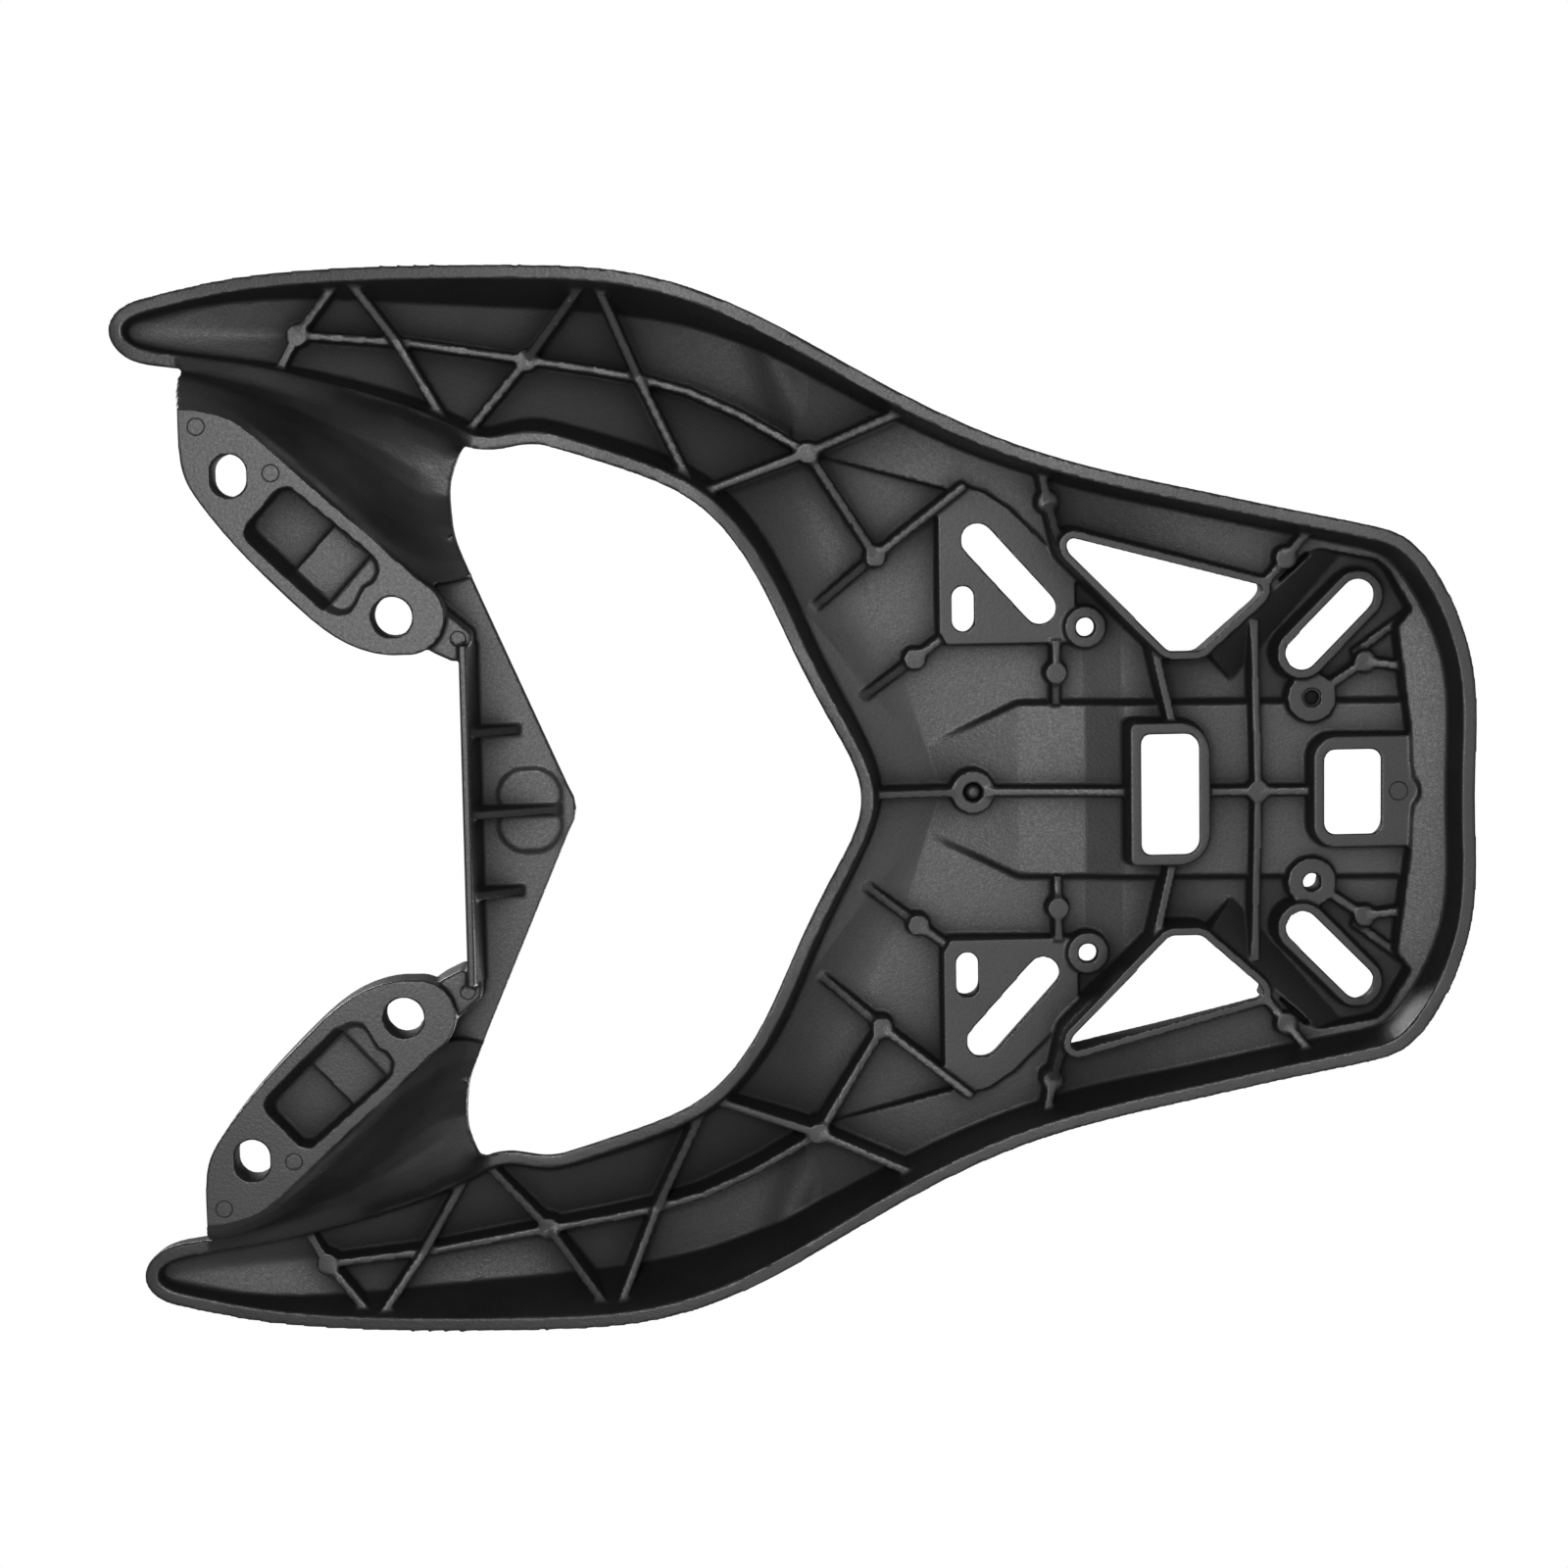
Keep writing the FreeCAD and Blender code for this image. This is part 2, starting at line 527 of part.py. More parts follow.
for a, d, profile in SADDLE:
    run = V(d[0] - a[0], d[1] - a[1], 0)
    length = run.Length
    run.normalize()
    low = [V(a[0], a[1], z) + run * (f * length) for f, z in profile]
    low.insert(0, low[0] - run * 3.2)
    low.append(low[-1] + run * 3.0)
    high = []
    for i, p in enumerate(low):
        q = low[max(i - 1, 0)]
        r = low[min(i + 1, len(low) - 1)]
        slope = r - q
        slope.normalize()
        normal = run * (-slope.z) + V(0, 0, 1) * slope.dot(run)
        high.append(p + normal * WEB)
    under_line = spline(low).toShape().discretize(SADDLE_STEPS)
    over_line = spline(high[::-1]).toShape().discretize(SADDLE_STEPS)
    sections.append(under_line + over_line)
rear_line = spline([V(x, y, -5) for x, y in SADDLE_REAR])
first = V(SADDLE_REAR[0][0], SADDLE_REAR[0][1], -5)
last = V(SADDLE_REAR[-1][0], SADDLE_REAR[-1][1], -5)
behind = Part.Face(Part.Wire([
    rear_line.toShape(), Part.makePolygon([last, V(90, last.y, -5), V(90, first.y, -5), first])]))
saddle = slab_between(sections).cut(behind.extrude(V(0, 0, 60)))

# Bridge between the feet: a pointed plate with a front flange, gussets and two pads
top_z = BRIDGE_Z + BRIDGE_THICKNESS
plate = prism([
    (FLANGE_X, -1.0), (FLANGE_X, 46.5), (50.0, 50.0), (46.0, 62.0), (50.0, 72.5), (59.0, 76.5),
    (59.8, 74.5), (61.6, 70.0), (66.4, 58.6), (89.0, 6.2), (90.5, 3.2), (BRIDGE_TIP_X, 0.0),
    (BRIDGE_TIP_X, -1.0)], BRIDGE_Z, top_z)
flange_face = Part.Face(Part.makePolygon([
    V(FLANGE_X, -1, 0), V(FLANGE_X + 2.2, -1, 0), V(FLANGE_X + 4.6, -1, BRIDGE_Z + 1),
    V(FLANGE_X, -1, BRIDGE_Z + 1), V(FLANGE_X, -1, 0)]))
flange = flange_face.extrude(V(0, FLANGE_END + 1, 0))
tab = prism([
    (46.0, 60.0), (54.0, 60.0), (56.9, 56.6), (60.3, 53.7), (64.2, 50.3), (64.3, 47.8),
    (62.9, 45.8), (61.4, 43.1), (58.9, 42.5), (54.0, 44.8), (46.0, 50.0)], TAB_Z, top_z)


def gusset(y, reach, width):
    side = Part.Face(Part.makePolygon([
        V(FLANGE_X + 1, y, 2.4), V(FLANGE_X + 1, y, BRIDGE_Z + 1), V(reach, y, BRIDGE_Z + 1),
        V(reach, y, BRIDGE_Z - BRIDGE_PAD_HEIGHT), V(FLANGE_X + 1, y, 2.4)]))
    return side.extrude(V(0, width, 0))


pad_wire = outline(BRIDGE_PAD, 0.0, BRIDGE_Z - BRIDGE_PAD_HEIGHT)
pad_solid = Part.Face(pad_wire).extrude(V(0, 0, BRIDGE_PAD_HEIGHT + 1.0))
lower = fuse([
    foot, plate, flange, tab, pad_solid, gusset(GUSSET_Y, GUSSET_REACH, GUSSET_WIDTH), gusset(-1.0, 87.0, 2.2)])
pocket = deep.fuse([shallow, shelf])
rear_hole = post(REAR_HOLE_X, REAR_HOLE_Y, -5, FOOT_HOLE_R, 40)
reach = (FOOT_SLOT_LENGTH - 2 * FOOT_SLOT_R) / 2.0
front_hole = taper(slot((
    (FRONT_HOLE_X, FRONT_HOLE_Y - reach), (FRONT_HOLE_X, FRONT_HOLE_Y + reach)), FOOT_SLOT_R),
    0.0, 0.0, -5.0, 40.0)
below = Part.makeBox(200, 200, 20, V(-50, -5, -20))
lower = lower.fuse(saddle).cut(below).cut(pocket).cut(rear_hole).cut(front_hole)
half_shape = half_shape.fuse(lower).common(half_box)

# Both halves
mirror = half_shape.mirror(V(0, 0, 0), V(0, 1, 0))
whole = half_shape.fuse(mirror)
centre_hole = post(CENTRE_BOSS_X, 0.0, CENTRE_BOSS_Z - 1.0, CENTRE_BOSS_HOLE_R, CENTRE_BOSS_Z + 5.0)
blind = post(SCREW_X, -SCREW_Y, SCREW_BOSS_Z - 1.0, SCREW_HOLE_R, SCREW_BOSS_Z + 5.0)
through = post(SCREW_X, SCREW_Y, SCREW_BOSS_Z - 1.0, SCREW_HOLE_R, 70.0)
whole = whole.cut(centre_hole).cut(blind).cut(through).removeSplitter()
whole.Solids[0].exportStep("parts/rack_casting.step")
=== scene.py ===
import math

import bmesh
import bpy
import numpy as np
from mathutils import Matrix, Vector


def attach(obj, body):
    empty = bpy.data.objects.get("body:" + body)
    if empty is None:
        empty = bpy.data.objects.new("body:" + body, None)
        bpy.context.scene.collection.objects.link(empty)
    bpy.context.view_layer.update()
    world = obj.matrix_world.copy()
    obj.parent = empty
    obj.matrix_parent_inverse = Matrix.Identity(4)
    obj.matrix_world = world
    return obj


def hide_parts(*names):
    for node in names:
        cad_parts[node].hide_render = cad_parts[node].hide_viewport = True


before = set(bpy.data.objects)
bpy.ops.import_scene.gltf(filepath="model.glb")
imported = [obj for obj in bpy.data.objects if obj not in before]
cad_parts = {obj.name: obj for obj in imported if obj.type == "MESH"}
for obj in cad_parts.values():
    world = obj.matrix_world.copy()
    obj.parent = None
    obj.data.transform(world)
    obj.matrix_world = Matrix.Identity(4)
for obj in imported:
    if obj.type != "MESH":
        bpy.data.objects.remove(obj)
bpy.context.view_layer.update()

scene = bpy.context.scene
scene.view_settings.view_transform = "Standard"

MM = 0.001


# Studio in metres: camera, backdrop, floor and lamps

CAMERA_PLACE = Vector((0.12364, -0.10265, -0.89331))
CAMERA_RIGHT = Vector((0.999396, 0.017845, -0.029826))
CAMERA_DOWN = Vector((-0.020899, 0.994207, -0.105431))
CAMERA_LENS_MM = 75.375
CAMERA_SENSOR_MM = 36.0

WHITE = (1.0, 1.0, 1.0, 1.0)
ROOM_COLOUR = (0.9, 0.9, 0.9, 1.0)
ROOM_STRENGTH = 0.05
SHARE_SEEN = {"Is Glossy Ray": 0.1, "Is Transmission Ray": 1.0}
FLOOR_PLACE = (0.15, 0.0, -1.9)
FLOOR_SIDE = 60.0
FLOOR_COLOUR = (0.42, 0.42, 0.42, 1.0)
FLOOR_ROUGHNESS = 0.9
FLOOR_PALLOR = 0.6

# Each softbox: its place, the side of its square, and its power in watts
LAMP_AIM = Vector((0.15, 0.0, 0.02))
LAMPS = {
    "wide_softbox": ((0.28, 0.09, -1.35), 1.15, 4.6),
    "platform_softbox": ((-0.08, 0.08, -1.2), 0.14, 1.8),
    "arm_softbox": ((-0.12, -0.26, -1.18), 0.16, 0.8),
    "crest_softbox": ((0.05, -0.3, -1.2), 0.12, 2.6),
    "top_front_softbox": ((-1.5, -1.3, 1.4), 1.6, 80.0),
    "top_rear_softbox": ((1.9, 1.3, 1.4), 1.6, 80.0),
}


def make_camera():
    """Camera below the rack, looking up at its ribbed side."""
    data = bpy.data.cameras.new("camera")
    data.lens = CAMERA_LENS_MM
    data.sensor_width = CAMERA_SENSOR_MM
    data.clip_start = 0.01
    data.clip_end = 50.0
    camera = bpy.data.objects.new("camera", data)
    scene.collection.objects.link(camera)
    ahead = CAMERA_RIGHT.cross(CAMERA_DOWN)
    turn = Matrix((CAMERA_RIGHT, -CAMERA_DOWN, -ahead)).transposed()
    camera.matrix_world = Matrix.Translation(CAMERA_PLACE) @ turn.to_4x4()
    scene.camera = camera


def seen_directly(tree):
    """Share of the pale background that a ray meets: all of it straight on, less by way of gloss."""
    path = tree.nodes.new("ShaderNodeLightPath")
    total = path.outputs["Is Camera Ray"]
    for name, share in SHARE_SEEN.items():
        node = tree.nodes.new("ShaderNodeMath")
        node.operation = "MULTIPLY_ADD"
        node.use_clamp = True
        node.inputs[1].default_value = share
        tree.links.new(path.outputs[name], node.inputs[0])
        tree.links.new(total, node.inputs[2])
        total = node.outputs["Value"]
    return total


def make_background(tree, colour, strength):
    node = tree.nodes.new("ShaderNodeBackground")
    node.inputs["Color"].default_value = colour
    node.inputs["Strength"].default_value = strength
    return node.outputs["Background"]


def make_world():
    """Dim room light on the object, with a white background to look at."""
    world = bpy.data.worlds.new("studio")
    scene.world = world
    world.use_nodes = True
    tree = world.node_tree
    tree.nodes.clear()
    out = tree.nodes.new("ShaderNodeOutputWorld")
    mix = tree.nodes.new("ShaderNodeMixShader")
    tree.links.new(seen_directly(tree), mix.inputs["Fac"])
    tree.links.new(make_background(tree, ROOM_COLOUR, ROOM_STRENGTH), mix.inputs[1])
    tree.links.new(make_background(tree, WHITE, 1.0), mix.inputs[2])
    tree.links.new(mix.outputs["Shader"], out.inputs["Surface"])


def make_floor():
    """Plain floor that keeps shadows, and looks paler than the light it throws back."""
    bpy.ops.mesh.primitive_plane_add(size=FLOOR_SIDE, location=FLOOR_PLACE)
    floor = bpy.context.object
    floor.name = "studio_floor"
    paint = bpy.data.materials.new("pale_floor")
    paint.use_nodes = True
    tree = paint.node_tree
    shader = tree.nodes["Principled BSDF"]
    shader.inputs["Base Color"].default_value = FLOOR_COLOUR
    shader.inputs["Roughness"].default_value = FLOOR_ROUGHNESS
    shader.inputs["Emission Color"].default_value = WHITE
    glow = tree.nodes.new("ShaderNodeMath")
    glow.operation = "MULTIPLY"
    glow.inputs[1].default_value = FLOOR_PALLOR
    tree.links.new(seen_directly(tree), glow.inputs[0])
    tree.links.new(glow.outputs["Value"], shader.inputs["Emission Strength"])
    floor.data.materials.append(paint)


def make_lamp(name, place, side, power):
    """Square softbox that faces the middle of the rack."""
    data = bpy.data.lights.new(name, "AREA")
    data.shape = "RECTANGLE"
    data.size = side
    data.size_y = side
    data.energy = power
    lamp = bpy.data.objects.new(name, data)
    scene.collection.objects.link(lamp)
    lamp.location = place
    lamp.rotation_mode = "QUATERNION"
    lamp.rotation_quaternion = (LAMP_AIM - Vector(place)).to_track_quat("-Z", "Y")


make_camera()
make_world()
make_floor()
for name, lamp_values in LAMPS.items():
    make_lamp(name, *lamp_values)


# Material: satin black powder coat over cast aluminium

COAT_DARK = (0.02, 0.02, 0.0205, 1.0)
COAT_LIGHT = (0.034, 0.034, 0.0345, 1.0)
# Near-black painted shade for the roots of ribs and the floors of recesses
PAINTED_SHADE_IN_ROOTS = (0.003, 0.003, 0.003, 1.0)

# How far about a point the walls count that make it a root, and the share of open room round
# # it at which the coat has its darkest painted shade and is dullest, and at which it is plainest
ROOT_REACH = 26.0 * MM
ROOT_SAMPLES = 6
ROOT_OPENNESS = (0.27, 0.95)
ROOT_ROUGHNESS = 0.85
ROOT_DULL_UP_TO = 0.8
OPEN_ROUGHNESS = (0.28, 0.42)

# Noises over the coat: scale, detail and roughness of each
MOTTLE = (60.0, 4.0, 0.6)
GRAIN = (1100.0, 3.0, 0.65)
NOISE_SPAN = (0.3, 0.7)
MOTTLE_SPAN = (0.15, 0.85)
GRAIN_STRENGTH = 0.5
GRAIN_DEPTH = 0.12 * MM


def mapped_noise(tree, coords, scale, detail, roughness):
    noise = tree.nodes.new("ShaderNodeTexNoise")
    noise.inputs["Scale"].default_value = scale
    noise.inputs["Detail"].default_value = detail
    noise.inputs["Roughness"].default_value = roughness
    tree.links.new(coords, noise.inputs["Vector"])
    return noise.outputs["Fac"]


def remap(tree, value, low, high, new_low, new_high):
    node = tree.nodes.new("ShaderNodeMapRange")
    node.inputs["From Min"].default_value = low
    node.inputs["From Max"].default_value = high
    node.inputs["To Min"].default_value = new_low
    node.inputs["To Max"].default_value = new_high
    tree.links.new(value, node.inputs["Value"])
    return node.outputs["Result"]


def mix_colours(tree, factor, first, second):
    """Colour between two; each is a constant or another node's output."""
    node = tree.nodes.new("ShaderNodeMix")
    node.data_type = "RGBA"
    tree.links.new(factor, node.inputs["Factor"])
    for socket, colour in ((node.inputs[6], first), (node.inputs[7], second)):
        if isinstance(colour, tuple):
            socket.default_value = colour
        else:
            tree.links.new(colour, socket)
    return node.outputs[2]


def powder_coat():
    """Satin black coat: grained, softly mottled, dull in the roots of ribs and walls, with shade
    painted darker into its colour there.
    """
    paint = bpy.data.materials.new("satin_black_coat")
    paint.use_nodes = True
    tree = paint.node_tree
    shader = tree.nodes["Principled BSDF"]
    coords = tree.nodes.new("ShaderNodeTexCoord").outputs["Object"]
    mottle = mapped_noise(tree, coords, *MOTTLE)
    grain = mapped_noise(tree, coords, *GRAIN)
    open_share = tree.nodes.new("ShaderNodeAmbientOcclusion")
    open_share.samples = ROOT_SAMPLES
    open_share.inputs["Distance"].default_value = ROOT_REACH
    openness = remap(tree, open_share.outputs["AO"], *ROOT_OPENNESS, 0.0, 1.0)
    coat_colour = mix_colours(
        tree, remap(tree, mottle, *NOISE_SPAN, *MOTTLE_SPAN), COAT_DARK, COAT_LIGHT)
    # Painted shade: the colour goes towards near black where ambient occlusion finds walls close
    # round
    coat_colour = mix_colours(tree, openness, PAINTED_SHADE_IN_ROOTS, coat_colour)
    tree.links.new(coat_colour, shader.inputs["Base Color"])
    smoothness = remap(tree, openness, 0.0, ROOT_DULL_UP_TO, 0.0, 1.0)
    gloss = tree.nodes.new("ShaderNodeMix")
    gloss.inputs["A"].default_value = ROOT_ROUGHNESS
    tree.links.new(smoothness, gloss.inputs["Factor"])
    tree.links.new(remap(tree, grain, *NOISE_SPAN, *OPEN_ROUGHNESS), gloss.inputs["B"])
    tree.links.new(gloss.outputs["Result"], shader.inputs["Roughness"])
    bump = tree.nodes.new("ShaderNodeBump")
    bump.inputs["Strength"].default_value = GRAIN_STRENGTH
    bump.inputs["Distance"].default_value = GRAIN_DEPTH
    tree.links.new(grain, bump.inputs["Height"])
    tree.links.new(bump.outputs["Normal"], shader.inputs["Normal"])
    return paint


coat = powder_coat()


# Casting: the CAD solid with every edge and root rounded as a mould leaves it

VOXEL = 0.5 * MM
SAME_POINT = 0.002 * MM
SMALL_SAME_POINT = 0.001 * MM
ROUNDING_STEPS = 5
WEB_ROUNDING_STEPS = 60
CASTING_FACES = 190000
NORMAL_WEIGHT = 50


def set_modifier(piece, kind, **values):
    modifier = piece.modifiers.new(kind.lower(), kind)
    for name, value in values.items():
        setattr(modifier, name, value)
    return modifier


def apply_modifiers(piece):
    graph = bpy.context.evaluated_depsgraph_get()
    mesh = bpy.data.meshes.new_from_object(piece.evaluated_get(graph))
    piece.modifiers.clear()
    piece.data = mesh


# Curved web from the arm down to the foot, in millimetres for the right side: where each
# line across it leaves the arm and where it meets the foot
WEB_AT_ARM = [
    (-16.5, 124.0), (5.0, 119.6), (27.0, 114.3), (44.0, 108.8), (54.0, 104.6), (60.0, 101.6),
    (66.0, 99.9),
]
WEB_AT_FOOT = [
    (-13.0, 111.5), (5.1, 106.8), (17.9, 95.8), (30.7, 83.4), (43.5, 71.8), (52.5, 67.0),
    (64.0, 68.5),
]

# Rear edge of the web, and how its greatest depth is shared out from the arm to the foot
WEB_REAR_Y = [70.3, 76.3, 82.5, 88.8, 101.0]
WEB_REAR_X = [61.6, 59.4, 58.4, 58.1, 62.0]
WEB_HOLLOW_SHARE = [0.0, 0.1, 0.28, 0.44, 0.61, 0.78, 0.9]
WEB_HOLLOW = [0.72, 0.94, 1.0, 0.77, 0.38, 0.05, 0.0]
WEB_DEPTH = 8.5
WEB_SHORT = 12.0
WEB_LONG = 26.0
RIM = 3.6

# Crest along the arm's tip, which is softened with the web
CREST_LOWEST = 34.0
CREST_X = [-60.0, -25.0, 15.7]
CREST_Y = [136.0, 134.5, 132.5]


def ease(value, low, high):
    """Smooth step from 0 at low to 1 at high."""
    t = np.clip((value - low) / (high - low), 0.0, 1.0)
    return t * t * (3.0 - 2.0 * t)


def web_place(x, y):
    """For plan points: number of the line across the web, distance from the arm, share of the
    way to the foot, and length of that line."""
    line = np.full(x.shape, -1.0)
    out = np.full(x.shape, -99.0)
    share = np.full(x.shape, -9.0)
    length = np.full(x.shape, 1.0)
    ends = [(np.array(a), np.array(b)) for a, b in zip(WEB_AT_ARM, WEB_AT_FOOT)]
    for i, ((a0, b0), (a1, b1)) in enumerate(zip(ends[:-1], ends[1:])):
        r0 = b0 - a0
        r1 = b1 - a1
        side0 = r0[0] * (y - a0[1]) - r0[1] * (x - a0[0])
        side1 = r1[0] * (y - a1[1]) - r1[1] * (x - a1[0])
        here = (side0 >= 0.0) & (side1 < 0.0)
        part = np.where(here, side0 / np.where(here, side0 - side1, 1.0), 0.0)
        f0 = ((x - a0[0]) * r0[0] + (y - a0[1]) * r0[1]) / r0.dot(r0)
        f1 = ((x - a1[0]) * r1[0] + (y - a1[1]) * r1[1]) / r1.dot(r1)
        f = f0 + (f1 - f0) * part
        size = math.hypot(*r0) + (math.hypot(*r1) - math.hypot(*r0)) * part
        line = np.where(here, i + part, line)
        share = np.where(here, f, share)
        out = np.where(here, f * size, out)
        length = np.where(here, size, length)
    return line, out, share, length


def read_points(mesh):
    points = np.empty(len(mesh.vertices) * 3)
    mesh.vertices.foreach_get("co", points)
    return points.reshape(-1, 3)


def shape_web(piece):
    """Hollow the web beside the arm's wall, and mark what is then smoothed."""
    mesh = piece.data
    points = read_points(mesh)
    x = points[:, 0] / MM
    y = np.abs(points[:, 1]) / MM
    z = points[:, 2] / MM
    line, out, share, length = web_place(x, y)
    inside = (line >= 0.0) & (out > -RIM) & (share < 1.0)
    to_rear = np.interp(y, WEB_REAR_Y, WEB_REAR_X) - x
    depth = np.interp(share, WEB_HOLLOW_SHARE, WEB_HOLLOW)
    depth = np.where(out < 0.0, WEB_HOLLOW[0] * (1.0 + out / RIM), depth)
    depth = depth * WEB_DEPTH * ease(length, WEB_SHORT, WEB_LONG)
    at_wall = ease(out, -0.5, 2.0)
    depth = depth * (at_wall + (1.0 - at_wall) * ease(to_rear, -2.0, 5.0))
    points[:, 2] -= np.where(inside, depth, 0.0) * MM
    mesh.vertices.foreach_set("co", points.ravel())
    web = ease(out, -3.0, 1.5) * (1.0 - ease(share, 0.88, 0.97)) * ease(line, 0.05, 0.5)
    web = np.where(inside, web * ease(to_rear, 1.0, 4.5), 0.0)
    crest = np.abs(y - np.interp(x, CREST_X, CREST_Y))
    crest = (1.0 - ease(crest, 4.0, 8.0)) * (1.0 - ease(x, 8.0, 12.0)) * ease(x, -30.0, -26.0)
    weight = np.maximum(web, np.where(z > CREST_LOWEST, crest, 0.0))
    group = piece.vertex_groups.new(name="soft_areas")
    levels = 10
    for level in range(1, levels + 1):
        chosen = np.nonzero(np.round(weight * levels) == level)[0]
        group.add(chosen.tolist(), level / levels, "REPLACE")


def cast_skin(node, name, voxel):
    """Copy of a CAD node, remeshed finely, with soft edges and soft roots."""
    mesh = node.data.copy()
    shell = bmesh.new()
    shell.from_mesh(mesh)
    bmesh.ops.remove_doubles(shell, verts=shell.verts, dist=SAME_POINT)
    shell.to_mesh(mesh)
    shell.free()
    mesh.materials.clear()
    piece = bpy.data.objects.new(name, mesh)
    scene.collection.objects.link(piece)
    set_modifier(piece, "REMESH", mode="VOXEL", voxel_size=voxel, use_smooth_shade=True)
    apply_modifiers(piece)
    shape_web(piece)
    set_modifier(piece, "SMOOTH", factor=0.5, iterations=ROUNDING_STEPS)
    soft = set_modifier(piece, "SMOOTH", factor=0.5, iterations=WEB_ROUNDING_STEPS)
    soft.vertex_group = "soft_areas"
    apply_modifiers(piece)
    piece.vertex_groups.clear()
    share = CASTING_FACES / (2.0 * len(piece.data.polygons))
    set_modifier(piece, "DECIMATE", ratio=min(1.0, share))
    apply_modifiers(piece)
    return piece


# Ring marks left by the mould's ejector pins: x, y, height of the face, radius
EJECTOR_MARKS = [
    (-8.1, 107.4, 0.0, 2.5), (-8.1, -107.4, 0.0, 2.5),
    (11.5, 94.6, 0.0, 2.5), (11.5, -94.6, 0.0, 2.5),
    (60.5, 48.7, 2.6, 2.3), (60.5, -48.7, 2.6, 2.3),
    (321.6, 0.0, 17.3, 2.8),
]
MARK_WIDTH = 0.45
MARK_DEPTH = 0.3
MARK_CLEARANCE = 1.0
MARK_STEPS = 48


def link_mesh(name, shell):
    mesh = bpy.data.meshes.new(name)
    shell.to_mesh(mesh)
    shell.free()
    piece = bpy.data.objects.new(name, mesh)
    scene.collection.objects.link(piece)
    return piece


def ring_cutter():
    """Short tubes that cut a thin round groove for each ejector mark."""
    shell = bmesh.new()
    for x, y, z, radius in EJECTOR_MARKS:
        below = z - MARK_CLEARANCE
        bottom = z + MARK_DEPTH
        inner = radius - MARK_WIDTH
        loops = []
        for r, height in ((radius, below), (radius, bottom), (inner, bottom), (inner, below)):
            loop = []
            for i in range(MARK_STEPS):
                turn = 2.0 * math.pi * i / MARK_STEPS
                place = (x + r * math.cos(turn), y + r * math.sin(turn), height)
                loop.append(shell.verts.new(Vector(place) * MM))
            loops.append(loop)
        for loop, after in zip(loops, loops[1:] + loops[:1]):
            for i in range(MARK_STEPS):
                j = (i + 1) % MARK_STEPS
                shell.faces.new((loop[i], loop[j], after[j], after[i]))
    bmesh.ops.recalc_face_normals(shell, faces=shell.faces)
    return link_mesh("ejector_rings", shell)


def cut_marks(piece):
    cutter = ring_cutter()
    set_modifier(piece, "BOOLEAN", operation="DIFFERENCE", object=cutter, solver="MANIFOLD")
    apply_modifiers(piece)
    bpy.data.objects.remove(cutter)


def finish_normals(piece):
    """Smooth shading that keeps flat faces flat."""
    for face in piece.data.polygons:
        face.use_smooth = True
    set_modifier(piece, "WEIGHTED_NORMAL", mode="FACE_AREA_WITH_ANGLE", weight=NORMAL_WEIGHT)
    apply_modifiers(piece)


casting = cast_skin(
    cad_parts["rack_casting"], "rack_body", VOXEL)
cut_marks(casting)
finish_normals(casting)
casting.data.materials.clear()
casting.data.materials.append(coat)
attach(casting, "root")
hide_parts("rack_casting")


# Thread in the blind screw hole

SCREW_HOLE = (298.4, -26.2)
THREAD_TOP = 23.9
THREAD_LENGTH = 4.2
THREAD_RADIUS = 2.36
THREAD_PITCH = 0.8
THREAD_WIRE = 0.3
THREAD_STEPS = 28
WIRE_STEPS = 8


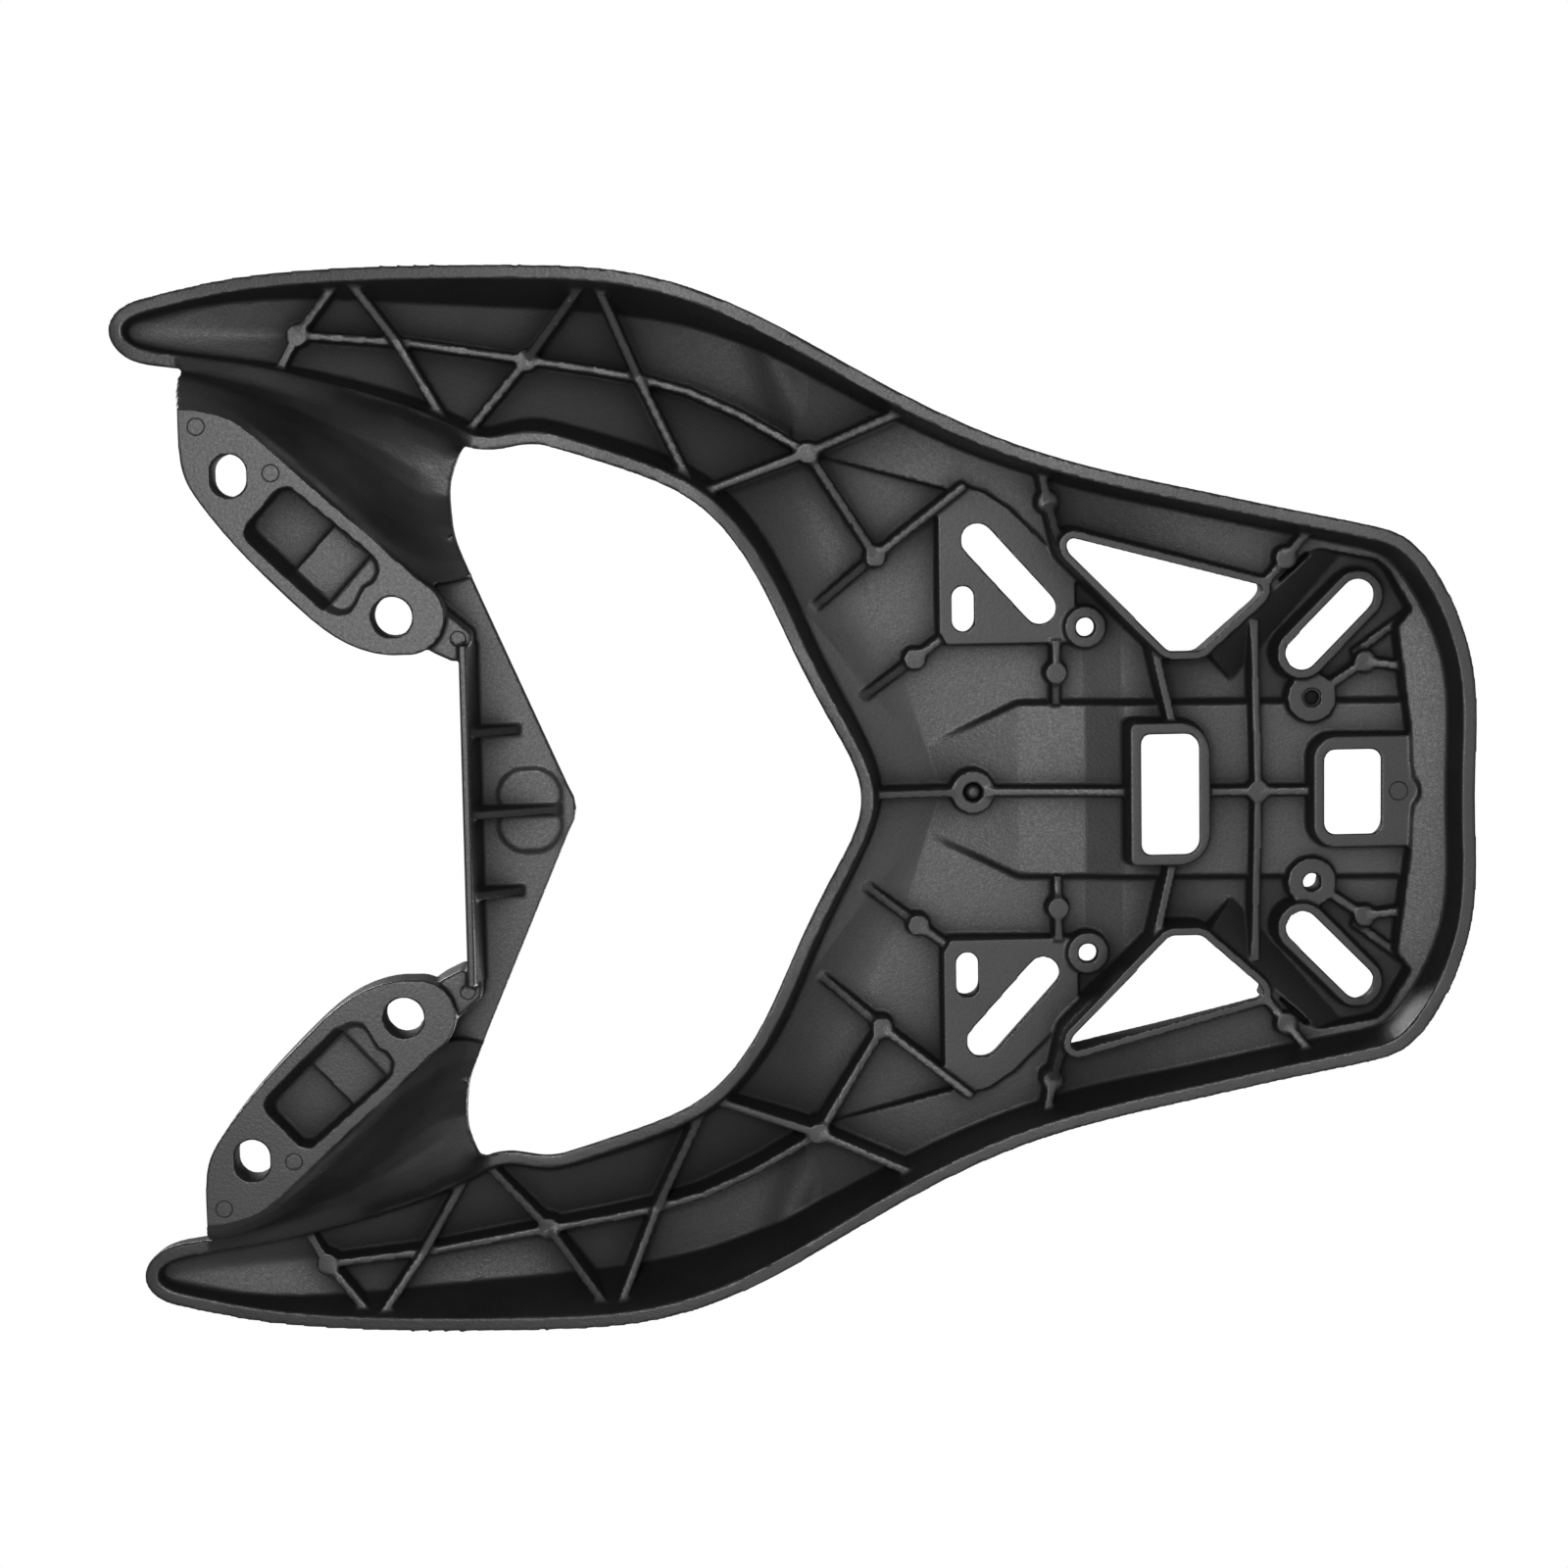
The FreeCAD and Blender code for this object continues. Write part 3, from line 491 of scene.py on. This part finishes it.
def thread_tree():
    """Nodes that sweep a thin wire along a helix."""
    tree = bpy.data.node_groups.new("screw_thread", "GeometryNodeTree")
    tree.interface.new_socket("Geometry", in_out="INPUT", socket_type="NodeSocketGeometry")
    tree.interface.new_socket("Geometry", in_out="OUTPUT", socket_type="NodeSocketGeometry")
    for name in ("Radius", "Length", "Turns", "Wire radius"):
        tree.interface.new_socket(name, in_out="INPUT", socket_type="NodeSocketFloat")
    tree.interface.new_socket("Place", in_out="INPUT", socket_type="NodeSocketVector")
    tree.interface.new_socket("Finish", in_out="INPUT", socket_type="NodeSocketMaterial")
    start = tree.nodes.new("NodeGroupInput")
    helix = tree.nodes.new("GeometryNodeCurveSpiral")
    helix.inputs["Resolution"].default_value = THREAD_STEPS
    tree.links.new(start.outputs["Turns"], helix.inputs["Rotations"])
    tree.links.new(start.outputs["Radius"], helix.inputs["Start Radius"])
    tree.links.new(start.outputs["Radius"], helix.inputs["End Radius"])
    tree.links.new(start.outputs["Length"], helix.inputs["Height"])
    wire = tree.nodes.new("GeometryNodeCurvePrimitiveCircle")
    wire.inputs["Resolution"].default_value = WIRE_STEPS
    tree.links.new(start.outputs["Wire radius"], wire.inputs["Radius"])
    sweep = tree.nodes.new("GeometryNodeCurveToMesh")
    sweep.inputs["Fill Caps"].default_value = True
    tree.links.new(helix.outputs["Curve"], sweep.inputs["Curve"])
    tree.links.new(wire.outputs["Curve"], sweep.inputs["Profile Curve"])
    move = tree.nodes.new("GeometryNodeTransform")
    tree.links.new(sweep.outputs["Mesh"], move.inputs["Geometry"])
    tree.links.new(start.outputs["Place"], move.inputs["Translation"])
    real = tree.nodes.new("GeometryNodeRealizeInstances")
    tree.links.new(move.outputs["Geometry"], real.inputs["Geometry"])
    paint = tree.nodes.new("GeometryNodeSetMaterial")
    tree.links.new(real.outputs["Geometry"], paint.inputs["Geometry"])
    tree.links.new(start.outputs["Finish"], paint.inputs["Material"])
    end = tree.nodes.new("NodeGroupOutput")
    tree.links.new(paint.outputs["Geometry"], end.inputs["Geometry"])
    return tree


def close_shell(shell):
    """Merge what meets, turn the faces outwards and shade them smoothly."""
    bmesh.ops.remove_doubles(shell, verts=shell.verts, dist=SMALL_SAME_POINT)
    bmesh.ops.recalc_face_normals(shell, faces=shell.faces)
    for face in shell.faces:
        face.smooth = True


def make_thread():
    piece = link_mesh("screw_thread", bmesh.new())
    tree = thread_tree()
    modifier = piece.modifiers.new("thread", "NODES")
    modifier.node_group = tree
    values = {
        "Radius": THREAD_RADIUS * MM, "Length": THREAD_LENGTH * MM,
        "Turns": THREAD_LENGTH / THREAD_PITCH, "Wire radius": THREAD_WIRE * MM,
        "Place": Vector((SCREW_HOLE[0], SCREW_HOLE[1], THREAD_TOP)) * MM, "Finish": coat,
    }
    for item in tree.interface.items_tree:
        if item.in_out == "INPUT" and item.name in values:
            modifier[item.identifier] = values[item.name]
    apply_modifiers(piece)
    shell = bmesh.new()
    shell.from_mesh(piece.data)
    close_shell(shell)
    shell.to_mesh(piece.data)
    shell.free()
    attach(piece, "root")


make_thread()


# Domed core left in the centre boss, as its profile of radius and height

CENTRE_BOSS_X = 203.6
CORE_STEPS = 40
CORE_PROFILE = [
    (0.0, 36.1), (0.8, 36.13), (1.4, 36.25), (1.8, 36.6), (2.0, 37.2), (2.05, 39.5), (2.1, 42.0),
    (0.0, 42.0),
]


def make_core():
    shell = bmesh.new()
    line = []
    for radius, height in CORE_PROFILE:
        line.append(shell.verts.new(Vector((CENTRE_BOSS_X + radius, 0.0, height)) * MM))
    edges = [shell.edges.new(pair) for pair in zip(line[:-1], line[1:])]
    bmesh.ops.spin(
        shell, geom=line + edges, cent=Vector((CENTRE_BOSS_X, 0.0, 0.0)) * MM,
        axis=(0.0, 0.0, 1.0), angle=2.0 * math.pi, steps=CORE_STEPS, use_merge=True)
    close_shell(shell)
    piece = link_mesh("centre_core", shell)
    piece.data.materials.append(coat)
    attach(piece, "root")


make_core()
